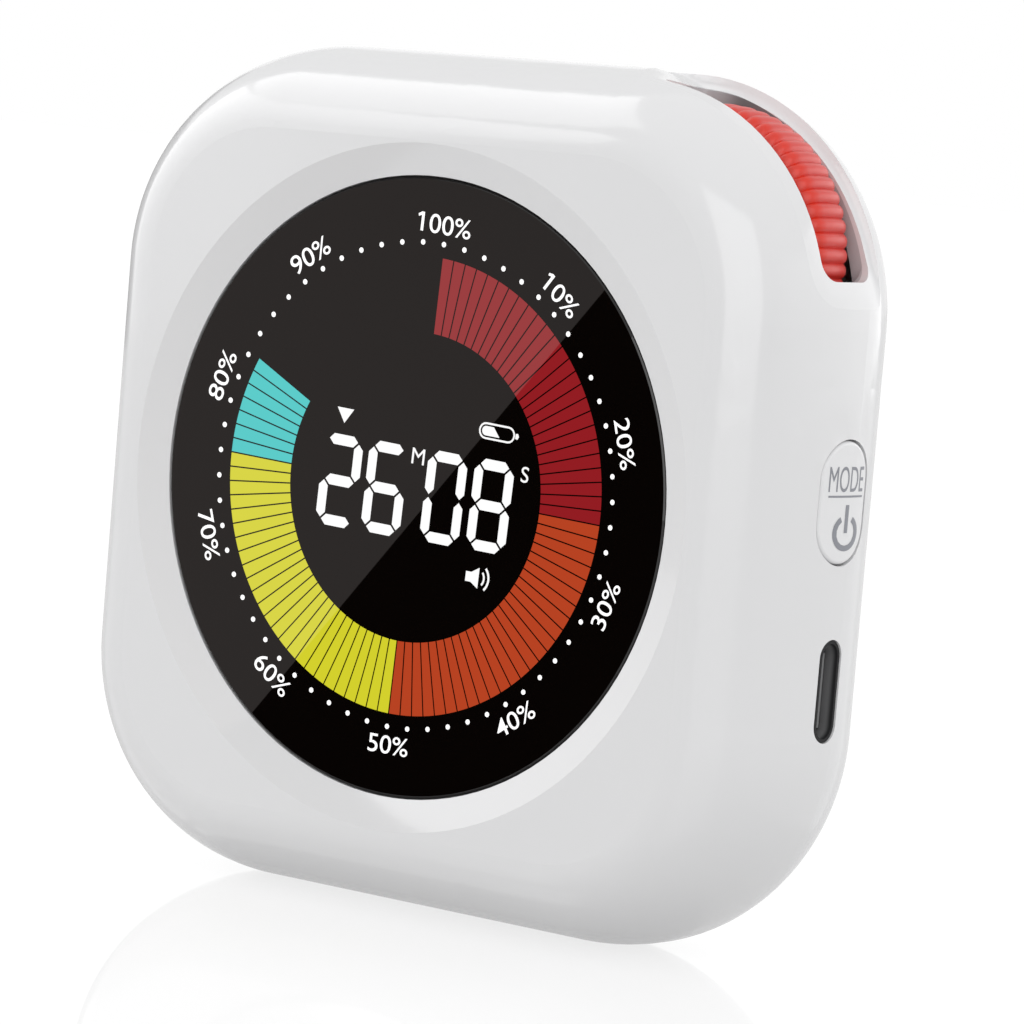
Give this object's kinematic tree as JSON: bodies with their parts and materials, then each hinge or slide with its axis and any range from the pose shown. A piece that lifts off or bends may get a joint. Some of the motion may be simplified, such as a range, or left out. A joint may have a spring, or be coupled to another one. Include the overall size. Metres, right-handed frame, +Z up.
{
  "type": "visual countdown timer",
  "caption": "Rounded-square white countdown timer that stands on its edge, with a round black display, a ribbed corner thumb wheel and a side button.",
  "frame": {"origin": "on the ground under the middle of the case, midway between its front and back planes", "axes": "+X to the right seen from the front, towards the button; +Y from the front to the back; +Z up"},
  "size_m": [0.08, 0.026, 0.0798],
  "materials": {
    "case_white": "gloss",
    "lens_black": "gloss, smoke tinted",
    "wheel_red": "satin",
    "button_white": "satin",
    "port_metal": "satin",
    "port_black": "matte",
    "screw_steel": "satin",
    "tape": "matte",
    "film": "frosted",
    "reflector_white": "matte",
    "board_green": "satin",
    "led_body": "gloss",
    "chip_black": "matte",
    "connector": "matte",
    "switch_black": "matte",
    "shaft_metal": "satin",
    "encoder_green": "satin",
    "ribbon": "satin",
    "cell_foil": "satin foil",
    "lead_jacket": "satin",
    "speaker_frame": "matte"
  },
  "bodies": {
    "case": {"front_housing": "case_white", "rear_cover": "case_white", "cover_screws": "screw_steel", "display_lens": "lens_black", "lens_adhesive": "tape", "diffuser_film": "film", "display_reflector": "reflector_white", "display_board": "board_green", "ring_leds": "led_body", "digit_leds": "led_body", "icon_leds": "led_body", "main_board": "board_green", "board_header": "connector", "controller_chip": "chip_black", "charger_chip": "chip_black", "board_screws": "screw_steel", "usb_shell": "port_metal", "usb_tongue": "port_black", "switch_body": "switch_black", "encoder_body": "encoder_green", "encoder_board": "board_green", "encoder_ribbon": "ribbon", "battery_cell": "cell_foil", "battery_tape": "tape", "battery_plug": "connector", "battery_leads": "lead_jacket", "speaker": "speaker_frame", "speaker_leads": "lead_jacket"},
    "wheel": {"thumb_wheel": "wheel_red", "encoder_shaft": "shaft_metal"},
    "button": {"mode_button": "button_white", "switch_plunger": "switch_black"}
  },
  "joints": [
    {"name": "wheel_spin", "type": "hinge", "parent": "case", "child": "wheel", "pos_m": [0.024, -0.0013, 0.0638], "axis": [0, 1, 0], "continuous": true},
    {"name": "mode_button_press", "type": "slide", "parent": "case", "child": "button", "axis": [-1, 0, 0], "range_m": [0, 0.00035], "stiffness_N_per_m": 800}
  ]
}
